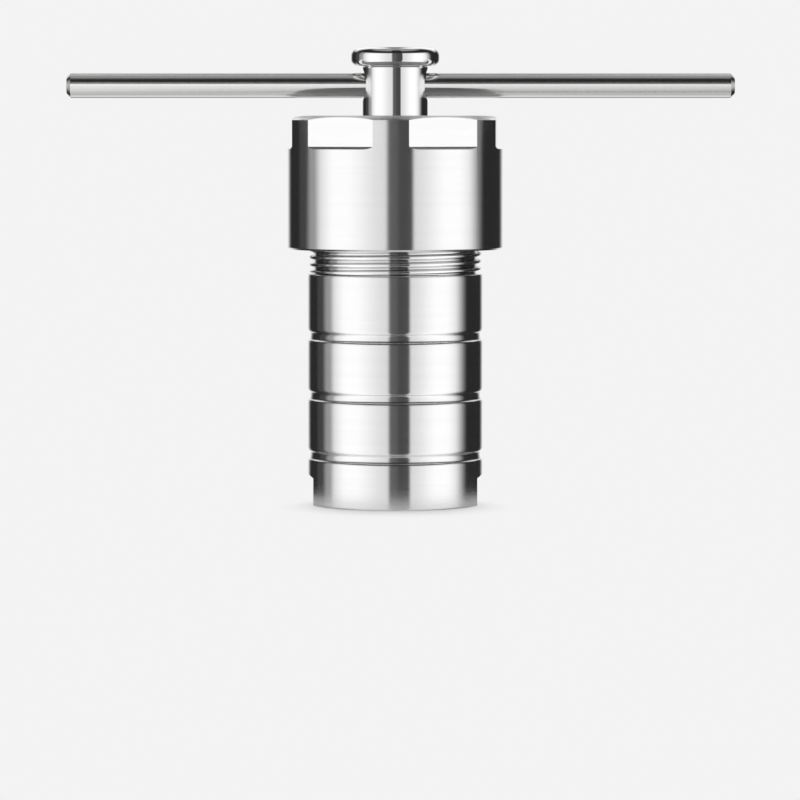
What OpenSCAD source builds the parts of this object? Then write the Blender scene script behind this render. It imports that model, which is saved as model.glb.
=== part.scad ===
// Hydrothermal reactor: a stainless vessel with a PTFE liner, closed by a screw cap
// that a sliding T-bar tightens. Millimetres, +Z up, origin at the centre of the base.

/* [Liner] */
// Inner diameter of the liner cup
cup_inner_d = 27.6; // [20:0.1:36]
// Wall thickness of the liner cup
cup_wall = 5; // [3:0.1:8]
// Thickness of the liner cup's floor
cup_floor = 5; // [3:0.1:8]
// Depth of the liner cup, from rim to floor
cup_depth = 56.8; // [45:0.1:90]
// Height of the liner lid above the cup's rim
lid_h = 12.2; // [8:0.1:16]
// Height of the plug that the lid sinks into the cup
plug_h = 6; // [3:0.1:12]
// Chamfer round the liner's outer edges
liner_chamfer = 0.6; // [0.2:0.1:1.5]

/* [Vessel] */
// Wall thickness of the vessel round the liner
vessel_wall = 5.4; // [4.5:0.1:9]
// Thickness of the vessel's bottom
vessel_floor = 10; // [6:0.1:14]
// Height of the full-diameter body, up to the thread's shoulder
body_h = 64.3; // [56:0.1:68]
// Radius that rounds the vessel's bottom edge
base_edge_r = 0.6; // [0.2:0.1:1.5]
// Diameter of the hole for pushing the liner out
eject_d = 8; // [5:0.1:16]
// Thickness of the disc under the liner
lower_disc_h = 3; // [2:0.1:6]
// Height by which the liner lid stands above the vessel's rim
lid_proud = 1; // [0.5:0.1:3]

/* [Grip grooves] */
// Number of grooves round the body
groove_count = 3; // [1:1:3]
// Height of the lowest groove's centre
groove_z = 13.9; // [11:0.1:16]
// Distance from one groove to the next
groove_spacing = 16.55; // [8:0.05:18]
// Width of a groove at the body's surface
groove_mouth = 2.8; // [2.5:0.1:5]
// Width of a groove's floor
groove_floor = 1.7; // [1:0.1:2.4]
// Depth of a groove
groove_depth = 0.7; // [0.3:0.1:1.5]

/* [Spanner flats on the base] */
// Depth of each flat, measured from the body's surface
base_flat_depth = 1.7; // [0.5:0.1:2.5]
// Height of the flats, up to where their run-out starts
base_flat_h = 7.6; // [3:0.1:8]
// Height of the sloped run-out above a flat
base_flat_runout = 1; // [0.5:0.1:2]

/* [Thread] */
// Pitch of the closing thread
thread_pitch = 2; // [1.5:0.25:3]
// Step in radius from the body down to the thread's crests
thread_step = 0.4; // [0.2:0.1:1]
// Width of the flat on a thread crest
thread_crest_w = 0.5; // [0.1:0.05:0.7]
// Width of the flat on a thread root
thread_root_w = 0.2; // [0.1:0.05:0.5]
// Depth of the thread
thread_depth = 1.3; // [0.8:0.05:1.6]
// Width of the relief between the shoulder and the first turn
thread_relief = 0.35; // [0.1:0.05:1]
// Length of the plain lead-in above the last turn
thread_lead = 1.2; // [0.5:0.1:2]
// Length of thread that shows below the cap
thread_show = 6.7; // [4:0.1:12]

/* [Cap] */
// Wall thickness of the cap round its bore
cap_wall = 5.7; // [4:0.1:10]
// Thickness of the cap's crown, above the pressure pad
cap_crown = 13; // [11:0.1:24]
// Number of spanner flats round the top of the cap
cap_flat_count = 6; // [4:2:8]
// Depth of each flat, measured from the cap's surface
cap_flat_depth = 1.9; // [0.8:0.1:3]
// Height from the step under each flat to the cap's top
cap_flat_h = 9.2; // [5:0.1:10]
// Corner radius that the cutter leaves along the step under each flat
cap_flat_corner_r = 1; // [0.2:0.1:1.5]
// Turn of the tightened cap from square with the vessel's flats, in degrees
cap_clocking = -2.3; // [-30:0.1:30]
// Radius of the low round that eases the cap's top down to its rim
rim_round_r = 11; // [6:0.5:16]
// Width of that round, in from the cap's side
rim_round_w = 5; // [2:0.1:5.5]
// Chamfer round the cap's lower edge and the mouth of its bore
cap_mouth_chamfer = 0.5; // [0.2:0.1:1]

/* [Pressure pad] */
// Full height of the pad between the liner lid and the cap
pad_h = 8; // [7.5:0.1:14]
// Thickness of the flange that keeps the pad in the cap
pad_flange_h = 2; // [1.5:0.1:3]
// Width of the flange, out from the pad's body
pad_flange_w = 1.2; // [1:0.1:2.5]
// Diameter of the spring wire under the flange
wire_d = 1.6; // [1.2:0.1:2.2]
// Gap between the ends of the wire ring, in degrees
wire_gap_angle = 14; // [6:1:30]
// Height of the cap's lip under the wire ring
ring_lip = 0.6; // [0.4:0.1:2]

/* [Handle] */
// Diameter of the stud's neck
neck_d = 18.3; // [14:0.1:22]
// Diameter of the stud's head
head_d = 24.7; // [22:0.1:34]
// Thickness of the stud's head
head_h = 5.3; // [4.4:0.1:8]
// Radius that rounds the head's upper edge
head_top_round = 2.4; // [0.5:0.1:2.4]
// Radius that rounds the head's lower edge
head_bottom_round = 1.9; // [0.5:0.1:1.9]
// Radius of the fillet between the neck and the head's underside
head_fillet = 0.5; // [0.2:0.1:1]
// Height of the bar's axis above the cap
bar_height = 8.4; // [6.5:0.1:14]
// Height of the neck that is left between the mouths of the bar's hole and the head
neck_over_hole = 0.3; // [0.2:0.1:4]
// Diameter of the shank that holds the stud in the cap
shank_d = 12; // [8:0.1:16]
// Length of the shank
shank_l = 9; // [6:0.1:10]
// Diameter of the T-bar
bar_d = 7; // [5:0.1:8]
// Length of the T-bar
bar_l = 185.5; // [120:0.5:260]
// Chamfer on the T-bar's ends
bar_chamfer = 1.1; // [0.3:0.1:2]
// Distance that the T-bar has slid along its hole, off centre
bar_slid = 1.5; // [-20:0.1:20]
// Distance that the T-bar has sunk below the middle of its hole
bar_sag = 0.2; // [0:0.05:0.25]
// Widening of the bar's hole at each of its mouths, on the radius
bar_hole_flare = 1; // [0.2:0.1:1.2]
// Length over which the bar's hole widens towards each mouth
bar_hole_flare_l = 2.2; // [1:0.1:4]

/* [Fits] */
// Radial clearance of the liner and its disc in the vessel
liner_clearance = 0.2; // [0.1:0.05:0.5]
// Radial clearance of the lid's plug in the cup
plug_clearance = 0.2; // [0.1:0.05:0.5]
// Radial clearance of the cap round the thread's crests
thread_clearance = 0.3; // [0.2:0.05:0.6]
// Clearance of the pressure pad in its recess and over the wire ring
pad_clearance = 0.3; // [0.2:0.05:0.5]
// Radial clearance of the wire ring in its groove
wire_clearance = 0.1; // [0.05:0.05:0.3]
// Radial clearance of the shank in the cap
shank_clearance = 0.05; // [0.02:0.01:0.1]
// Radial clearance of the T-bar in its hole
bar_clearance = 0.3; // [0.3:0.05:0.6]
// Chamfer on the other edges of the turned parts
edge_chamfer = 0.5; // [0.2:0.1:1]

/* [Hidden] */

$fn = 96;
// How far a cutter reaches past the surface that it opens
over = 1;

// Liner, standing on its disc in the vessel
liner_r = cup_inner_d / 2 + cup_wall;
plug_r = cup_inner_d / 2 - plug_clearance;
liner_z = vessel_floor + lower_disc_h;
cup_rim_z = liner_z + cup_floor + cup_depth;
lid_top_z = cup_rim_z + lid_h;

// Vessel, from its bore outwards
bore_r = liner_r + liner_clearance;
body_r = bore_r + vessel_wall;
vessel_h = lid_top_z - lid_proud;

// Thread, counted up from the shoulder
crest_r = body_r - thread_step;
root_r = crest_r - thread_depth;
thread_z = body_h + thread_relief;
turn_count = floor((vessel_h - thread_lead - thread_z) / thread_pitch);

// Pressure pad and its ring, in the recess of the cap
pad_top_z = lid_top_z + pad_h;
pad_flange_r = liner_r + pad_flange_w;
pad_flange_z = pad_top_z - pad_flange_h;
recess_r = pad_flange_r + pad_clearance;
wire_z = pad_flange_z - pad_clearance - wire_d / 2;
ceiling_z = wire_z - wire_d / 2 - ring_lip;

// Cap, over the thread and the pad
cap_bore_r = crest_r + thread_clearance;
cap_r = cap_bore_r + cap_wall;
cap_z = body_h + thread_show;
cap_top_z = pad_top_z + cap_crown;
cap_flat_r = cap_r - cap_flat_depth;
cap_flat_z = cap_top_z - cap_flat_h;
rim_drop = rim_round_r - sqrt(pow(rim_round_r, 2) - pow(rim_round_w, 2));

// Handle, on top of the cap
neck_r = neck_d / 2;
head_r = head_d / 2;
bar_z = cap_top_z + bar_height;
bar_hole_r = bar_d / 2 + bar_clearance;
bar_hole_z = bar_z + bar_sag;
bar_mouth_r = bar_hole_r + bar_hole_flare;
head_z = bar_hole_z + bar_mouth_r + neck_over_hole;

// A disc or plug with both its outer edges chamfered, from z = 0 up
module chamfered_disc(r, h, chamfer) {
    rotate_extrude() polygon([
        [0, 0],
        [r - chamfer, 0],
        [r, chamfer],
        [r, h - chamfer],
        [r - chamfer, h],
        [0, h],
    ]);
}

// Half the section of one grip groove, as points up the body's side
function groove_points(z) = [
    [body_r, z - groove_mouth / 2],
    [body_r - groove_depth, z - groove_floor / 2],
    [body_r - groove_depth, z + groove_floor / 2],
    [body_r, z + groove_mouth / 2],
];

// One ridge of the thread, as points up the vessel's side
function ridge_points(z) = [
    [root_r, z + thread_root_w / 2],
    [crest_r, z + (thread_pitch - thread_crest_w) / 2],
    [crest_r, z + (thread_pitch + thread_crest_w) / 2],
    [root_r, z + thread_pitch - thread_root_w / 2],
];

// The turned outline of the vessel, with the grooves and the thread's section
module vessel_outline() {
    polygon([
        [0, 0],
        [body_r, 0],
        for (i = [0 : groove_count - 1]) each groove_points(groove_z + i * groove_spacing),
        [body_r, body_h - thread_step],
        [crest_r, body_h],
        [root_r, body_h],
        for (i = [0 : turn_count - 1]) each ridge_points(thread_z + i * thread_pitch),
        [root_r, vessel_h - edge_chamfer],
        [root_r - edge_chamfer, vessel_h],
        [0, vessel_h],
    ]);
}

// What rounds the outline's bottom corner
module base_edge_cut() {
    difference() {
        translate([body_r - base_edge_r, -over])
            square([base_edge_r + over, base_edge_r + over]);
        translate([body_r - base_edge_r, base_edge_r])
            circle(r = base_edge_r);
    }
}

// What the cutter takes off for the flat on the +X side of the base
module base_flat_cut() {
    flat_x = body_r - base_flat_depth;
    rotate([90, 0, 0])
        linear_extrude(height = 2 * body_r, center = true)
            polygon([
                [flat_x, -over],
                [flat_x, base_flat_h],
                [body_r, base_flat_h + base_flat_runout],
                [body_r + over, base_flat_h + base_flat_runout],
                [body_r + over, -over],
            ]);
}

module vessel() {
    color("silver") difference() {
        rotate_extrude() difference() {
            vessel_outline();
            base_edge_cut();
        }
        translate([0, 0, vessel_floor])
            cylinder(r = bore_r, h = vessel_h - vessel_floor + over);
        translate([0, 0, -over])
            cylinder(d = eject_d, h = vessel_floor + 2 * over);
        base_flat_cut();
        mirror([1, 0, 0]) base_flat_cut();
    }
}

module lower_disc() {
    color("darkgray")
        translate([0, 0, vessel_floor])
            chamfered_disc(liner_r, lower_disc_h, edge_chamfer);
}

module liner_cup() {
    color("white")
        translate([0, 0, liner_z])
            difference() {
                chamfered_disc(liner_r, cup_floor + cup_depth, liner_chamfer);
                translate([0, 0, cup_floor])
                    cylinder(d = cup_inner_d, h = cup_depth + over);
            }
}

module liner_lid() {
    color("white") {
        translate([0, 0, cup_rim_z])
            chamfered_disc(liner_r, lid_h, liner_chamfer);
        translate([0, 0, cup_rim_z - plug_h])
            cylinder(r = plug_r, h = plug_h + liner_chamfer);
    }
}

module pressure_pad() {
    color("darkgray") {
        translate([0, 0, lid_top_z])
            chamfered_disc(liner_r, pad_h, edge_chamfer);
        translate([0, 0, pad_flange_z])
            cylinder(r = pad_flange_r, h = pad_flange_h);
    }
}

module wire_loop(wire_r, turn) {
    translate([0, 0, wire_z])
        rotate_extrude(angle = turn)
            translate([recess_r, 0]) circle(r = wire_r);
}

module retaining_ring() {
    color("gray") wire_loop(wire_d / 2, 360 - wire_gap_angle);
}

// The turned outline of the cap, before its bore, recess and flats are cut
module cap_outline() {
    polygon([
        [0, cap_z],
        [cap_r - cap_mouth_chamfer, cap_z],
        [cap_r, cap_z + cap_mouth_chamfer],
        [cap_r, cap_top_z],
        [0, cap_top_z],
    ]);
}

// What eases the outline's top down to its rim, tangent to the flat top
module cap_rim_cut() {
    difference() {
        translate([cap_r - rim_round_w, cap_top_z - rim_drop])
            square([rim_round_w + over, rim_drop + over]);
        translate([cap_r - rim_round_w, cap_top_z - rim_round_r])
            circle(r = rim_round_r);
    }
}

// What the cutter takes off for the flat that faces +X, with a rounded corner over
// its step
module cap_flat_cut() {
    corner = cap_flat_corner_r;
    translate([cap_flat_r, -cap_r, cap_flat_z + corner])
        cube([cap_flat_depth + over, 2 * cap_r, cap_flat_h + over]);
    translate([cap_flat_r + corner, -cap_r, cap_flat_z])
        cube([cap_flat_depth + over, 2 * cap_r, cap_flat_h + over]);
    translate([cap_flat_r + corner, cap_r, cap_flat_z + corner])
        rotate([90, 0, 0]) cylinder(r = corner, h = 2 * cap_r);
}

module cap() {
    color("silver") difference() {
        rotate_extrude() difference() {
            cap_outline();
            cap_rim_cut();
        }
        translate([0, 0, cap_z - over])
            cylinder(r = cap_bore_r, h = ceiling_z - cap_z + over);
        translate([0, 0, cap_z])
            cylinder(
                r1 = cap_bore_r + cap_mouth_chamfer,
                r2 = cap_bore_r,
                h = cap_mouth_chamfer
            );
        translate([0, 0, ceiling_z - over])
            cylinder(r = recess_r, h = pad_top_z - ceiling_z + over);
        wire_loop(wire_d / 2 + wire_clearance, 360);
        translate([0, 0, cap_top_z - shank_l])
            cylinder(d = shank_d + 2 * shank_clearance, h = shank_l + over);
        for (i = [0 : cap_flat_count - 1])
            rotate([0, 0, cap_clocking + i * 360 / cap_flat_count]) cap_flat_cut();
    }
}

// Half the section of the stud's head, with both its edges rounded, from z = 0 up
module head_outline() {
    top_x = head_r - head_top_round;
    top_z = head_h - head_top_round;
    bottom_x = head_r - head_bottom_round;
    square([top_x, head_h]);
    square([bottom_x, top_z]);
    translate([0, head_bottom_round])
        square([head_r, top_z - head_bottom_round]);
    translate([top_x, top_z])
        circle(r = head_top_round);
    translate([bottom_x, head_bottom_round])
        circle(r = head_bottom_round);
}

// What fills the corner between the neck and the head's underside
module head_fillet_outline() {
    difference() {
        translate([0, head_z - head_fillet])
            square([neck_r + head_fillet, head_fillet + head_bottom_round]);
        translate([neck_r + head_fillet, head_z - head_fillet])
            circle(r = head_fillet);
    }
}

// Half the section of the stud: shank, neck, fillet and head
module stud_outline() {
    translate([0, cap_top_z - shank_l])
        square([shank_d / 2, shank_l]);
    translate([0, cap_top_z])
        square([neck_r, head_z - cap_top_z]);
    head_fillet_outline();
    translate([0, head_z])
        head_outline();
}

// Cone that widens the bar's hole towards its mouth on the +X side
module bar_hole_mouth() {
    past = neck_over_hole / 2 * bar_hole_flare_l / bar_hole_flare;
    translate([neck_r - bar_hole_flare_l, 0, bar_hole_z])
        rotate([0, 90, 0])
            cylinder(
                r1 = bar_hole_r,
                r2 = bar_mouth_r + neck_over_hole / 2,
                h = bar_hole_flare_l + past
            );
}

module handle_stud() {
    color("gainsboro") difference() {
        rotate_extrude() stud_outline();
        translate([0, 0, bar_hole_z])
            rotate([0, 90, 0])
                cylinder(r = bar_hole_r, h = 2 * neck_r + over, center = true);
        bar_hole_mouth();
        mirror([1, 0, 0]) bar_hole_mouth();
    }
}

module tommy_bar() {
    color("gainsboro")
        translate([bar_slid - bar_l / 2, 0, bar_z])
            rotate([0, 90, 0])
                chamfered_disc(bar_d / 2, bar_l, bar_chamfer);
}

vessel();
lower_disc();
liner_cup();
liner_lid();
pressure_pad();
cap();
retaining_ring();
handle_stud();
tommy_bar();
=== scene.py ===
"""Hydrothermal reactor: finishes, helical thread, studio and camera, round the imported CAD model.

Metres, +Z up, in the CAD model's frame. Brightness is linear, with 1 as white. Angles are in degrees.
An azimuth is measured round the vessel from -Y, which faces the camera, towards +X.
"""

import math

import bmesh
import bpy
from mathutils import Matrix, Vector

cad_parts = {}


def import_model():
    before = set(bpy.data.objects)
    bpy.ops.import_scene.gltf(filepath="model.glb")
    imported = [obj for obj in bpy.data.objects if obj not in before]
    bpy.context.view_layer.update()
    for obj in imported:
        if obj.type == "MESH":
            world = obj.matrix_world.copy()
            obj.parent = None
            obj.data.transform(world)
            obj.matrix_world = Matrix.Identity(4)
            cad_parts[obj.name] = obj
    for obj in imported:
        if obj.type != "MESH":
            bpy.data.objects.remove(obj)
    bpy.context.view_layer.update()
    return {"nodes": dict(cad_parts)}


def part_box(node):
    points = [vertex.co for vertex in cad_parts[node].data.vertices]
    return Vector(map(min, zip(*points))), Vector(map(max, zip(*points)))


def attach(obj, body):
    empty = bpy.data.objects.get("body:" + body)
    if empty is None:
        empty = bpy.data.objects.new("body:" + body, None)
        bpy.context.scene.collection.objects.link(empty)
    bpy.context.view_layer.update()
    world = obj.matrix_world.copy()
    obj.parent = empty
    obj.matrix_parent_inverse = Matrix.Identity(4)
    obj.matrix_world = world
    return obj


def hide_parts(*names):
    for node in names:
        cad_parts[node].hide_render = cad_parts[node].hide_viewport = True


MM = 0.001


# --- Node graphs ---------------------------------------------------------------------------------


class Graph:
    """Adds nodes to a node tree, so that a material or the studio's light reads as a formula."""

    def __init__(self, tree):
        self.tree = tree
        self.tree.nodes.clear()

    def node(self, kind, **settings):
        made = self.tree.nodes.new(kind)
        for name, value in settings.items():
            setattr(made, name, value)
        return made

    def feed(self, socket, value):
        """Links value to the socket if it is another node's output, and otherwise sets it there."""
        if isinstance(value, bpy.types.NodeSocket):
            self.tree.links.new(value, socket)
        else:
            socket.default_value = value

    def math(self, operation, *values):
        made = self.node("ShaderNodeMath", operation=operation)
        for socket, value in zip(made.inputs, values):
            self.feed(socket, value)
        return made.outputs[0]

    def total(self, values):
        """The sum of the values."""
        result = values[0]
        for value in values[1:]:
            result = self.math("ADD", result, value)
        return result

    def product(self, values):
        """The product of the values."""
        result = values[0]
        for value in values[1:]:
            result = self.math("MULTIPLY", result, value)
        return result

    def ramp(self, value, start, end, low=0.0, high=1.0):
        """Goes smoothly from low, where value is start, to high, where it is end."""
        made = self.node("ShaderNodeMapRange", interpolation_type="SMOOTHSTEP", clamp=True)
        for name, fed in (
            ("Value", value),
            ("From Min", min(start, end)),
            ("From Max", max(start, end)),
            ("To Min", low if start < end else high),
            ("To Max", high if start < end else low),
        ):
            self.feed(made.inputs[name], fed)
        return made.outputs["Result"]

    def vector(self, x, y, z):
        made = self.node("ShaderNodeCombineXYZ")
        for socket, value in zip(made.inputs, (x, y, z)):
            self.feed(socket, value)
        return made.outputs[0]

    def distance(self, place, point):
        made = self.node("ShaderNodeVectorMath", operation="DISTANCE")
        self.feed(made.inputs[0], place)
        self.feed(made.inputs[1], point)
        return made.outputs["Value"]

    def mixed(self, share, first, second):
        """The first shader, with that share of the second."""
        made = self.node("ShaderNodeMixShader")
        for socket, value in zip(made.inputs, (share, first, second)):
            self.feed(socket, value)
        return made.outputs[0]

    def blended(self, share, first, second):
        """The first colour, with that share of the second."""
        made = self.node("ShaderNodeMix", data_type="RGBA", blend_type="MIX")
        for name, value in (("Factor", share), ("A", first), ("B", second)):
            self.feed(made.inputs[name], value)
        return made.outputs["Result"]

    def noise(self, where, detail=2.0):
        """Smooth noise from 0 to 1, at the position given."""
        made = self.node("ShaderNodeTexNoise", noise_dimensions="3D")
        self.feed(made.inputs["Vector"], where)
        made.inputs["Scale"].default_value = 1.0
        made.inputs["Detail"].default_value = detail
        return made.outputs["Fac"]


# --- Studio --------------------------------------------------------------------------------------

# What polished steel sees of the studio: (azimuth where a panel fades in, from and to; azimuth where
# it fades out, from and to; elevation where it fades in and out at its foot and head; brightness).
SOFTBOX_FOOT = (-84, -52)
SOFTBOX_HEAD = (20, 34)
PANELS = {
    "left_softbox": ((-97, -86), (-11, -6), SOFTBOX_FOOT, SOFTBOX_HEAD, 0.84),
    "left_hot_spot": ((-93, -68), (-56, -8), SOFTBOX_FOOT, SOFTBOX_HEAD, 0.36),
    "left_grey_card": ((-113, -101), (-97, -86), SOFTBOX_FOOT, SOFTBOX_HEAD, 0.34),
    "left_dark_card": ((-128, -120), (-115, -104), SOFTBOX_FOOT, SOFTBOX_HEAD, 0.04),
    "camera_gap": ((-11, -6), (15, 19), SOFTBOX_FOOT, SOFTBOX_HEAD, 0.05),
    "camera_card": ((-11, -6), (0, 6), SOFTBOX_FOOT, SOFTBOX_HEAD, 0.05),
    "right_softbox": ((17, 21), (84, 110), SOFTBOX_FOOT, SOFTBOX_HEAD, 0.84),
    "right_hot_spot": ((20, 58), (70, 98), SOFTBOX_FOOT, SOFTBOX_HEAD, 0.36),
    "left_wing": ((-172, -162), (-142, -128), (14, 26), (60, 76), 0.80),
    "right_wing": ((128, 142), (162, 172), (14, 26), (60, 76), 0.80),
}
BACKDROP_EDGE = (147, 168)
BACKDROP_FOOT = (-30, -14)
BACKDROP_HEAD = (58, 76)
# The dark notch in the backdrop's head, behind the reactor: how far round and how far up it fades in
BACKDROP_NOTCH = ((164, 172), (34, 52))
# The lit table behind the reactor: how far round and how far down it fades in and out, and its brightness
TABLE_BEHIND = ((140, 160), (-34, -44), (-84, -62), 0.72)
BACKDROP_BRIGHTNESS = 0.86
DARK_ROOM = 0.026
CEILING_FOOT = (51, 62)
CEILING_BRIGHTNESS = 0.32
CEILING_GAP = ((-22, -8), (18, 30), (62, 84))
FLOOR_BELOW = (-86, -50)
FLOOR_BRIGHTNESS = 0.55

# Brightness of the floor, and of what the camera sees behind the reactor
BACKGROUND = 0.896
FLOOR_SIZE = 8.0
# Distances between which the floor fades out of what steel mirrors, from the axis, and out of shade,
# from a point in front of it
FLOOR_SEEN_IN_STEEL = (26 * MM, 55 * MM)
FLOOR_SHADED = (14 * MM, 34 * MM)
FLOOR_SHADE_CENTRE = (0, -12 * MM, 0)
# Share of the floor that steel mirrors next to the base
FLOOR_IN_STEEL = 0.65

# Strips in front of the T-bar that it alone mirrors: (elevation from, to, brightness)
BAR_STRIPS = (
    (-3, 13, 0.64),
    (-14, -3, 0.57),
    (-25, -14, 0.52),
    (-35, -25, 0.45),
    (-44, -35, 0.38),
    (-54, -44, 0.30),
    (-65, -54, 0.12),
)
BAR_STRIP_DISTANCE = 1.5
BAR_STRIP_WIDTH = 0.9
# Power of an area light, in watts for each square metre, that looks as bright as white
WHITE_POWER = 4.0


def studio_direction(graph):
    """The azimuth and elevation, in degrees, that the world is looked at in."""
    look = graph.node("ShaderNodeTexCoord").outputs["Generated"]
    parts = graph.node("ShaderNodeSeparateXYZ")
    graph.feed(parts.inputs[0], look)
    x, y, z = parts.outputs
    azimuth = graph.math("DEGREES", graph.math("ARCTAN2", x, graph.math("MULTIPLY", y, -1.0)))
    elevation = graph.math("DEGREES", graph.math("ARCSINE", z))
    return azimuth, elevation


def studio_reflection(graph):
    """The brightness that a mirror sees each way: softboxes, dark room, backdrop, ceiling and floor."""
    azimuth, elevation = studio_direction(graph)
    seen = [DARK_ROOM]
    for fade_in, fade_out, foot, head, brightness in PANELS.values():
        seen.append(
            graph.product([
                graph.ramp(azimuth, *fade_in),
                graph.ramp(azimuth, *fade_out, low=1.0, high=0.0),
                graph.ramp(elevation, *foot),
                graph.ramp(elevation, *head, low=1.0, high=0.0),
                brightness,
            ])
        )
    either_side = graph.math("ABSOLUTE", azimuth)
    notch_sides, notch_foot = BACKDROP_NOTCH
    notch = graph.product([graph.ramp(either_side, *notch_sides), graph.ramp(elevation, *notch_foot)])
    backdrop = graph.product([
        graph.ramp(either_side, *BACKDROP_EDGE),
        graph.math("SUBTRACT", 1.0, notch),
        graph.ramp(elevation, *BACKDROP_FOOT),
        graph.ramp(elevation, *BACKDROP_HEAD, low=1.0, high=0.0),
        BACKDROP_BRIGHTNESS,
    ])
    table_sides, table_edge, table_foot, table_brightness = TABLE_BEHIND
    table = graph.product([
        graph.ramp(either_side, *table_sides),
        graph.ramp(elevation, *table_edge),
        graph.ramp(elevation, *table_foot),
        table_brightness,
    ])
    gap_from, gap_to, gap_head = CEILING_GAP
    over_the_gap = graph.product([
        graph.ramp(azimuth, *gap_from),
        graph.ramp(azimuth, *gap_to, low=1.0, high=0.0),
        graph.ramp(elevation, *gap_head, low=1.0, high=0.0),
    ])
    ceiling = graph.product([
        graph.ramp(elevation, *CEILING_FOOT),
        graph.math("SUBTRACT", 1.0, over_the_gap),
        CEILING_BRIGHTNESS,
    ])
    floor = graph.product([
        graph.ramp(elevation, *FLOOR_BELOW, low=1.0, high=0.0),
        FLOOR_BRIGHTNESS,
    ])
    return graph.total([*seen, backdrop, table, ceiling, floor])


def grey(graph, brightness):
    """A neutral colour of that brightness."""
    made = graph.node("ShaderNodeCombineColor")
    for socket in made.inputs:
        graph.feed(socket, brightness)
    return made.outputs[0]


def build_world():
    """Even light for what scatters it, the softboxes for what mirrors it, and the pale background."""
    world = bpy.data.worlds.new("studio")
    bpy.context.scene.world = world
    world.use_nodes = True
    world.cycles.sampling_method = "NONE"
    graph = Graph(world.node_tree)
    ray = graph.node("ShaderNodeLightPath").outputs
    pale = graph.node("ShaderNodeBackground")
    pale.inputs["Color"].default_value = (BACKGROUND, BACKGROUND, BACKGROUND, 1)
    even = graph.node("ShaderNodeBackground")
    mirrored = graph.node("ShaderNodeBackground")
    graph.feed(even.inputs["Color"], (1, 1, 1, 1))
    graph.feed(mirrored.inputs["Color"], grey(graph, studio_reflection(graph)))
    lit = graph.mixed(ray["Is Glossy Ray"], even.outputs[0], mirrored.outputs[0])
    straight = graph.math("MAXIMUM", ray["Is Camera Ray"], ray["Is Transmission Ray"])
    graph.feed(graph.node("ShaderNodeOutputWorld").inputs[0], graph.mixed(straight, lit, pale.outputs[0]))


def floor_material():
    """Matt and pale. Steel mirrors only the part of the floor near the base, and the softboxes beyond it."""
    material = bpy.data.materials.new("pale_floor")
    material.use_nodes = True
    graph = Graph(material.node_tree)
    matt = graph.node("ShaderNodeBsdfDiffuse")
    matt.inputs["Color"].default_value = (BACKGROUND, BACKGROUND, BACKGROUND, 1)
    clear = graph.node("ShaderNodeBsdfTransparent")
    pale = graph.node("ShaderNodeEmission")
    pale.inputs["Color"].default_value = (BACKGROUND, BACKGROUND, BACKGROUND, 1)
    ray = graph.node("ShaderNodeLightPath").outputs
    place = graph.node("ShaderNodeNewGeometry").outputs["Position"]
    from_axis = graph.distance(place, (0, 0, 0))
    from_shade = graph.distance(place, FLOOR_SHADE_CENTRE)
    shadeless = graph.math("MULTIPLY", graph.ramp(from_shade, *FLOOR_SHADED), ray["Is Camera Ray"])
    seen = graph.ramp(from_axis, *FLOOR_SEEN_IN_STEEL, low=FLOOR_IN_STEEL, high=0.0)
    unseen = graph.math("MULTIPLY", graph.math("SUBTRACT", 1.0, seen), ray["Is Glossy Ray"])
    lit = graph.mixed(shadeless, matt.outputs[0], pale.outputs[0])
    graph.feed(graph.node("ShaderNodeOutputMaterial").inputs[0], graph.mixed(unseen, lit, clear.outputs[0]))
    return material


def build_floor():
    mesh = bpy.data.meshes.new("floor")
    half = FLOOR_SIZE / 2
    outline = [(-half, -half, 0), (half, -half, 0), (half, half, 0), (-half, half, 0)]
    mesh.from_pydata(outline, [], [(0, 1, 2, 3)])
    floor = bpy.data.objects.new("floor", mesh)
    floor.data.materials.append(floor_material())
    bpy.context.scene.collection.objects.link(floor)


def build_bar_strips(bar, centre):
    """Strip lights in an arc before the T-bar and under it, linked so that only the bar mirrors them."""
    receivers = bpy.data.collections.new("bar_only")
    receivers.objects.link(bar)
    for low, high, brightness in BAR_STRIPS:
        middle = math.radians((low + high) / 2)
        height = 2 * BAR_STRIP_DISTANCE * math.tan(math.radians((high - low) / 2))
        light = bpy.data.lights.new("bar_strip", "AREA")
        light.shape = "RECTANGLE"
        light.size = BAR_STRIP_WIDTH
        light.size_y = height
        light.energy = brightness * WHITE_POWER * BAR_STRIP_WIDTH * height
        strip = bpy.data.objects.new("bar_strip", light)
        away = Vector((0, -math.cos(middle), math.sin(middle)))
        strip.location = centre + BAR_STRIP_DISTANCE * away
        strip.rotation_mode = "QUATERNION"
        strip.rotation_quaternion = (-away).to_track_quat("-Z", "Y")
        strip.light_linking.receiver_collection = receivers
        bpy.context.scene.collection.objects.link(strip)


# --- Camera --------------------------------------------------------------------------------------

FRAME_PIXELS = 800
# Length of a pixel at the reactor's axis
PIXEL = 0.2784 * MM
EYE_DISTANCE = 1.20
EYE_HEIGHT = 0.107
# The point that the camera looks straight at, and the pixel of the frame that it shows at
AIM = Vector((0, 0, 62.3 * MM))
AIM_PIXEL = (395.25, 280.0)
# Width of the camera's sensor, in millimetres
SENSOR = 36.0
CLIP_START = 0.01


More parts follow.
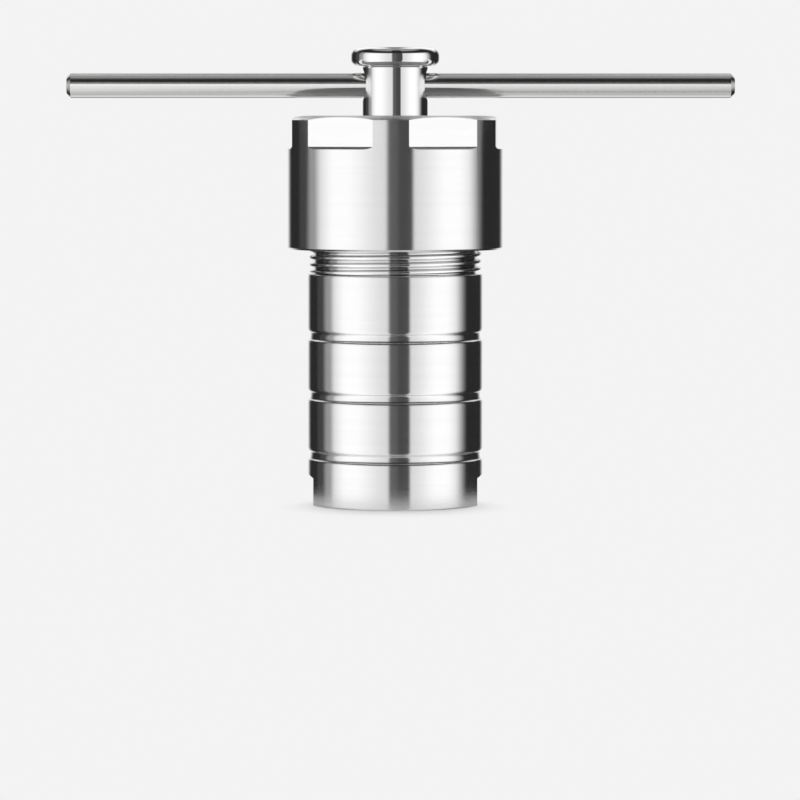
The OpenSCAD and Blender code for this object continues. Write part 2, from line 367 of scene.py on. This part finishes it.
def build_camera():
    eye = Vector((0, -EYE_DISTANCE, EYE_HEIGHT))
    camera = bpy.data.objects.new("camera", bpy.data.cameras.new("camera"))
    bpy.context.scene.collection.objects.link(camera)
    camera.location = eye
    camera.rotation_mode = "QUATERNION"
    camera.rotation_quaternion = (AIM - eye).to_track_quat("-Z", "Y")
    camera.data.sensor_width = SENSOR
    camera.data.lens = SENSOR * (AIM - eye).length / (PIXEL * FRAME_PIXELS)
    camera.data.shift_x = 0.5 - AIM_PIXEL[0] / FRAME_PIXELS
    camera.data.shift_y = AIM_PIXEL[1] / FRAME_PIXELS - 0.5
    camera.data.clip_start = CLIP_START
    bpy.context.scene.camera = camera


# --- Finishes ------------------------------------------------------------------------------------

# Noise seldom leaves this range, so a ramp over it uses the whole of what it is given
NOISE_RANGE = (0.3, 0.7)
BROAD_NOISE_RANGE = (0.25, 0.75)
FINE_STREAK = 0.12 * MM
# How many fine streaks a broad one is as wide as
BROAD_STREAK = 14
# How fast a streak changes along itself, on steel and on PTFE
STEEL_AROUND = 0.35
PTFE_AROUND = 0.3
PATCHES_PER_METRE = 60.0
# Share of the roughness that steel has in its smoothest and its roughest streaks
ROUGHNESS_SPREAD = (0.86, 1.16)
# Heights of the normal between which a face comes to lie across the axis, and between which a slope that
# looks up takes on painted shade
FACE_ACROSS = (0.90, 0.98)
PAINTED_SHADE_SLOPE = (0.25, 0.6)
# Painted shade: the dark colour blended into slopes that look up
PAINTED_SHADE_COLOUR = (0.10, 0.10, 0.10, 1)
PTFE_COLOUR = (0.88, 0.88, 0.875, 1)
PTFE_STREAK = 0.2 * MM
PTFE_STREAK_HEIGHT = 0.01 * MM
PTFE_ROUGHNESS = (0.36, 0.48)
# Share of the light that goes into the PTFE before it scatters, and how far in
PTFE_SUBSURFACE = 0.25
PTFE_DEPTH = 1.5 * MM
# Share of the cutter marks' height that shows
PTFE_BUMP = 0.4
# Turns the anisotropy from along the tangent to across it
QUARTER_TURN = 0.25


def turned_position(graph, axis, centre, around):
    """Position as distance from the axis, place along it and some of the angle: streaks run round the part.

    axis is "Z" or "X", centre is a point on it, and around is how fast a streak changes along itself.
    """
    moved = graph.node("ShaderNodeVectorMath", operation="SUBTRACT")
    graph.feed(moved.inputs[0], graph.node("ShaderNodeTexCoord").outputs["Object"])
    moved.inputs[1].default_value = centre
    parts = graph.node("ShaderNodeSeparateXYZ")
    graph.feed(parts.inputs[0], moved.outputs[0])
    x, y, z = parts.outputs
    along, across = (z, x) if axis == "Z" else (x, z)
    squares = [graph.math("MULTIPLY", part, part) for part in (across, y)]
    radius = graph.math("SQRT", graph.total(squares))
    angle = graph.math("MULTIPLY", graph.math("ARCTAN2", y, across), around)
    return radius, along, angle


def streaks(graph, place, spacing, detail=3.0):
    """Noise in fine streaks round a turned part, about spacing metres from one to the next."""
    radius, along, angle = place
    scale = 1.0 / spacing
    return graph.noise(
        graph.vector(graph.math("MULTIPLY", radius, scale), graph.math("MULTIPLY", along, scale), angle),
        detail=detail,
    )


def normal_height(graph):
    """1 on faces that look straight up, 0 on a turned side and -1 on faces that look straight down."""
    parts = graph.node("ShaderNodeSeparateXYZ")
    graph.feed(parts.inputs[0], graph.node("ShaderNodeNewGeometry").outputs["Normal"])
    return parts.outputs["Z"]


def steel(
    name,
    colour,
    roughness,
    anisotropy=0.0,
    axis="Z",
    centre=(0, 0, 0),
    streak_height=0.0,
    cloud=0.0,
    tint=0.0,
    faced=0.0,
    upward_shade=0.0,
):
    """Machined stainless steel, with cutter marks that run round its axis.

    They blur what it mirrors along the axis (anisotropy), stand streak_height proud, and vary its
    roughness and, by tint, its colour. cloud is how far the roughness varies from patch to patch, and
    faced how much rougher faces across the axis are. upward_shade is how much of its colour a slope
    that looks up loses to painted shade.
    """
    material = bpy.data.materials.new(name)
    material.use_nodes = True
    graph = Graph(material.node_tree)
    shader = graph.node("ShaderNodeBsdfPrincipled")
    shader.inputs["Metallic"].default_value = 1.0
    shader.inputs["Anisotropic"].default_value = anisotropy
    shader.inputs["Anisotropic Rotation"].default_value = QUARTER_TURN
    place = turned_position(graph, axis, centre, STEEL_AROUND)
    fine = streaks(graph, place, FINE_STREAK)
    broad = streaks(graph, place, FINE_STREAK * BROAD_STREAK, detail=1.0)
    radius, along, angle = place
    across, length = [graph.math("MULTIPLY", part, PATCHES_PER_METRE) for part in (radius, along)]
    patches = graph.noise(graph.vector(across, length, angle))
    smoothest, roughest = [roughness * share for share in ROUGHNESS_SPREAD]
    height = normal_height(graph)
    varied = graph.total([
        graph.ramp(fine, *NOISE_RANGE, low=smoothest, high=roughest),
        graph.math("MULTIPLY", graph.math("SUBTRACT", patches, 0.5), cloud),
        graph.math("MULTIPLY", graph.ramp(graph.math("ABSOLUTE", height), *FACE_ACROSS), faced),
    ])
    graph.feed(shader.inputs["Roughness"], varied)
    seen = (*colour, 1)
    if tint:
        darker = (*[part * (1 - tint) for part in colour], 1)
        seen = graph.blended(graph.ramp(broad, *BROAD_NOISE_RANGE), darker, seen)
    # Painted shade: slopes that look up are darkened towards a dark colour by the height of their normal
    if upward_shade:
        painted_shade_share = graph.math("MULTIPLY", graph.ramp(height, *PAINTED_SHADE_SLOPE), upward_shade)
        seen = graph.blended(painted_shade_share, seen, PAINTED_SHADE_COLOUR)
    graph.feed(shader.inputs["Base Color"], seen)
    if anisotropy:
        tangent = graph.node("ShaderNodeTangent", direction_type="RADIAL", axis=axis)
        graph.feed(shader.inputs["Tangent"], tangent.outputs[0])
    if streak_height:
        bump = graph.node("ShaderNodeBump")
        bump.inputs["Strength"].default_value = 1.0
        bump.inputs["Distance"].default_value = streak_height
        graph.feed(bump.inputs["Height"], graph.total([fine, broad]))
        graph.feed(shader.inputs["Normal"], bump.outputs[0])
    graph.feed(graph.node("ShaderNodeOutputMaterial").inputs[0], shader.outputs[0])
    return material


def ptfe():
    """Turned PTFE: waxy white, a little translucent, with faint cutter marks."""
    material = bpy.data.materials.new("ptfe")
    material.use_nodes = True
    graph = Graph(material.node_tree)
    shader = graph.node("ShaderNodeBsdfPrincipled")
    shader.inputs["Base Color"].default_value = PTFE_COLOUR
    shader.inputs["Subsurface Weight"].default_value = PTFE_SUBSURFACE
    shader.inputs["Subsurface Scale"].default_value = PTFE_DEPTH
    place = turned_position(graph, "Z", (0, 0, 0), PTFE_AROUND)
    fine = streaks(graph, place, PTFE_STREAK)
    smoothest, roughest = PTFE_ROUGHNESS
    graph.feed(shader.inputs["Roughness"], graph.ramp(fine, *NOISE_RANGE, low=smoothest, high=roughest))
    bump = graph.node("ShaderNodeBump")
    bump.inputs["Strength"].default_value = PTFE_BUMP
    bump.inputs["Distance"].default_value = PTFE_STREAK_HEIGHT
    graph.feed(bump.inputs["Height"], fine)
    graph.feed(shader.inputs["Normal"], bump.outputs[0])
    graph.feed(graph.node("ShaderNodeOutputMaterial").inputs[0], shader.outputs[0])
    return material


def finish_nodes(nodes, bar_centre):
    """Gives every CAD node its finish, and returns those of the vessel's body and thread."""
    satin = steel(
        "satin_steel",
        colour=(0.82, 0.82, 0.82),
        roughness=0.16,
        anisotropy=0.9,
        streak_height=0.00012 * MM,
        tint=0.02,
    )
    bright = steel(
        "cap_steel",
        colour=(0.815, 0.815, 0.815),
        roughness=0.17,
        anisotropy=0.9,
        streak_height=0.00008 * MM,
        tint=0.015,
        faced=0.3,
    )
    disc = steel(
        "disc_steel",
        colour=(0.70, 0.70, 0.70),
        roughness=0.34,
        anisotropy=0.8,
        streak_height=0.002 * MM,
        tint=0.06,
    )
    bar = steel(
        "polished_bar",
        colour=(0.82, 0.815, 0.81),
        roughness=0.15,
        anisotropy=0.92,
        axis="X",
        centre=bar_centre,
        cloud=0.02,
    )
    polished = steel("polished_steel", colour=(0.82, 0.82, 0.82), roughness=0.045, cloud=0.01)
    wire = steel("spring_steel", colour=(0.55, 0.55, 0.56), roughness=0.3, cloud=0.05)
    white = ptfe()
    finishes = {
        "vessel": satin,
        "cap": bright,
        "lower_disc": disc,
        "pressure_pad": disc,
        "handle_stud": polished,
        "tommy_bar": bar,
        "retaining_ring": wire,
        "liner_cup": white,
        "liner_lid": white,
    }
    for name, material in finishes.items():
        nodes[name].data.materials.clear()
        nodes[name].data.materials.append(material)
    # The thread's slopes that look up get painted shade, as dark lines along its turns
    thread = steel("thread_steel", colour=(0.86, 0.86, 0.86), roughness=0.06, upward_shade=0.25)
    return satin, thread


# --- Vessel with its helical thread --------------------------------------------------------------

# Sizes of the turned vessel, as the CAD model has them
BODY_R = 24.4 * MM
BORE_R = 19.0 * MM
HOLE_R = 4.0 * MM
FLOOR_Z = 10.0 * MM
BASE_EDGE_R = 0.6 * MM
FLAT_X = 22.7 * MM
FLAT_H = 7.6 * MM
FLAT_RUNOUT = 1.0 * MM
GROOVE_Z = 13.9 * MM
GROOVE_SPACING = 16.55 * MM
GROOVE_COUNT = 3
GROOVE_MOUTH = 2.8 * MM
GROOVE_FLOOR = 1.7 * MM
GROOVE_DEPTH = 0.7 * MM
SHOULDER_Z = 64.3 * MM
CREST_R = 24.0 * MM
ROOT_R = 22.7 * MM
PITCH = 2.0 * MM
RELIEF = 0.35 * MM
LEAD_LENGTH = 1.2 * MM
RIM_CHAMFER = 0.5 * MM
# Height of one of the thread's crests on the +X side
CREST_Z = 67.62 * MM
# The thread's section: height within a turn, and share of its depth
THREAD_SECTION = (
    (0.05, 0.0),
    (0.30, 0.86),
    (0.34, 0.96),
    (0.38, 1.0),
    (0.62, 1.0),
    (0.66, 0.96),
    (0.70, 0.86),
    (0.95, 0.0),
)
# How far from a corner its round may start, and the most of a side that it may take up
EDGE_REACH = 0.9 * MM
EDGE_SHARE = 0.45
# Steps in the mesh: round the vessel, up the flats' runout, and round the edges of the base and the grooves
COLUMNS = 240
RUNOUT_STEPS = 12
BASE_EDGE_STEPS = 6
GROOVE_EDGE_STEPS = 5
# Angle between faces above which their edge is sharp
SHARP = 14
# Vertices this near are one, and faces this narrow are taken out
MERGED = 0.002 * MM
SLIVER = 0.001 * MM


def arc(centre, radius, start, end, steps):
    """Points (r, z) along an arc, with its angles in degrees from +r towards +z."""
    angles = [math.radians(start + (end - start) * i / steps) for i in range(steps + 1)]
    return [(centre[0] + radius * math.cos(a), centre[1] + radius * math.sin(a)) for a in angles]


def eased(points, reach, steps):
    """The points of an outline, with each corner between the first and the last rounded over reach."""
    result = [points[0]]
    for before, corner, after in zip(points, points[1:], points[2:]):
        c = Vector(corner)
        to_before, to_after = Vector(before) - c, Vector(after) - c
        start = c + to_before.normalized() * min(reach, EDGE_SHARE * to_before.length)
        end = c + to_after.normalized() * min(reach, EDGE_SHARE * to_after.length)
        for i in range(steps + 1):
            t = i / steps
            result.append(tuple(start * (1 - t) ** 2 + c * 2 * t * (1 - t) + end * t**2))
    result.append(points[-1])
    return result


def lower_outline():
    """The vessel's outline from the push-out hole, under the base and up its side to the thread's relief."""
    outline = [(HOLE_R, 0.0)]
    outline += arc((BODY_R - BASE_EDGE_R, BASE_EDGE_R), BASE_EDGE_R, -90, 0, BASE_EDGE_STEPS)
    outline += [(BODY_R, FLAT_H + FLAT_RUNOUT * i / RUNOUT_STEPS) for i in range(RUNOUT_STEPS + 1)]
    side = [outline[-1]]
    for i in range(GROOVE_COUNT):
        z = GROOVE_Z + i * GROOVE_SPACING
        side += [
            (BODY_R, z - GROOVE_MOUTH / 2),
            (BODY_R - GROOVE_DEPTH, z - GROOVE_FLOOR / 2),
            (BODY_R - GROOVE_DEPTH, z + GROOVE_FLOOR / 2),
            (BODY_R, z + GROOVE_MOUTH / 2),
        ]
    side += [
        (BODY_R, SHOULDER_Z - (BODY_R - CREST_R)),
        (CREST_R, SHOULDER_Z),
        (ROOT_R, SHOULDER_Z),
        (ROOT_R, SHOULDER_Z + RELIEF),
    ]
    return outline[:-1] + eased(side, EDGE_REACH, GROOVE_EDGE_STEPS)


def upper_outline(top):
    """The outline from the thread's plain lead-in, over the rim and down the bore to the push-out hole."""
    return [
        (ROOT_R, top - LEAD_LENGTH),
        (ROOT_R, top - RIM_CHAMFER),
        (ROOT_R - RIM_CHAMFER, top),
        (BORE_R, top),
        (BORE_R, FLOOR_Z),
        (HOLE_R, FLOOR_Z),
        (HOLE_R, 0.0),
    ]


def column_angles():
    """Angles of the mesh's columns, evenly spaced but for those moved to the edges of the base flats."""
    angles = [2 * math.pi * i / COLUMNS for i in range(COLUMNS + 1)]
    edge = math.acos(FLAT_X / BODY_R)
    for flat_edge in (edge, math.pi - edge, math.pi + edge, 2 * math.pi - edge):
        nearest = min(range(COLUMNS), key=lambda i: abs(angles[i] - flat_edge))
        angles[nearest] = flat_edge
    return angles


def vessel_mesh(top):
    """The whole vessel as one closed mesh, its thread a true helix."""
    low = SHOULDER_Z + RELIEF
    high = top - LEAD_LENGTH
    below = lower_outline()
    above = upper_outline(top)
    angles = column_angles()
    base_turn = math.floor((low - (CREST_Z - PITCH / 2)) / PITCH) - 1
    turns = math.ceil((high - low) / PITCH) + 2
    mesh = bmesh.new()
    columns = []
    for angle in angles:
        start = CREST_Z - PITCH / 2 + PITCH * angle / (2 * math.pi)
        line = [
            (ROOT_R + (CREST_R - ROOT_R) * depth, start + (base_turn + turn + share) * PITCH)
            for turn in range(turns)
            for share, depth in THREAD_SECTION
        ]
        section = below + clipped(line, low, high) + above
        column = []
        for r, z in section:
            x, y = r * math.cos(angle), r * math.sin(angle)
            if z < FLAT_H + FLAT_RUNOUT and r > BODY_R / 2:
                flat = FLAT_X + max(0.0, z - FLAT_H) * (BODY_R - FLAT_X) / FLAT_RUNOUT
                x = max(-flat, min(flat, x))
            column.append(mesh.verts.new((x, y, z)))
        columns.append(column)
    for left, right in zip(columns, columns[1:]):
        for a, b, c, d in zip(left, right, right[1:], left[1:]):
            mesh.faces.new((a, b, c, d))
    bmesh.ops.remove_doubles(mesh, verts=mesh.verts, dist=MERGED)
    bmesh.ops.dissolve_degenerate(mesh, edges=mesh.edges, dist=SLIVER)
    bmesh.ops.recalc_face_normals(mesh, faces=mesh.faces)
    return mesh


def clipped(line, low, high):
    """The line with what lies below low or above high drawn in to the point where it crosses that height."""
    result = []
    for i, (r, z) in enumerate(line):
        if z < low and i + 1 < len(line):
            result.append((radius_at(line, low), low))
        elif z > high:
            result.append((radius_at(line, high), high))
        else:
            result.append((r, z))
    return result


def radius_at(line, height):
    """The line's radius at that height."""
    for (r0, z0), (r1, z1) in zip(line, line[1:]):
        if z0 <= height <= z1:
            return r0 + (r1 - r0) * (height - z0) / (z1 - z0)
    return ROOT_R


def smooth_but_sharp(mesh, angle):
    """Shades the mesh smooth, with an edge sharp where its faces meet at more than angle degrees."""
    for face in mesh.faces:
        face.smooth = True
    for edge in mesh.edges:
        edge.smooth = len(edge.link_faces) == 2 and edge.calc_face_angle(0.0) < math.radians(angle)


def build_vessel(satin, thread, top):
    """The vessel that shows: the CAD node's form, with its closing thread as a helix."""
    mesh = vessel_mesh(top)
    smooth_but_sharp(mesh, SHARP)
    data = bpy.data.meshes.new("threaded_vessel")
    mesh.to_mesh(data)
    mesh.free()
    data.materials.append(satin)
    data.materials.append(thread)
    for face in data.polygons:
        x, y, z = face.center
        if SHOULDER_Z < z < top - LEAD_LENGTH and math.hypot(x, y) > (BORE_R + ROOT_R) / 2:
            face.material_index = 1
    vessel = bpy.data.objects.new("threaded_vessel", data)
    bpy.context.scene.collection.objects.link(vessel)
    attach(vessel, "vessel")
    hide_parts("vessel")


# --- The scene -----------------------------------------------------------------------------------


def main():
    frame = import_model()
    bpy.context.scene.view_settings.view_transform = "Standard"
    build_world()
    build_floor()
    build_camera()
    bar_low, bar_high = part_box("tommy_bar")
    bar_centre = (bar_low + bar_high) / 2
    satin, thread = finish_nodes(frame["nodes"], bar_centre)
    build_bar_strips(frame["nodes"]["tommy_bar"], bar_centre)
    build_vessel(satin, thread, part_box("vessel")[1].z)


main()
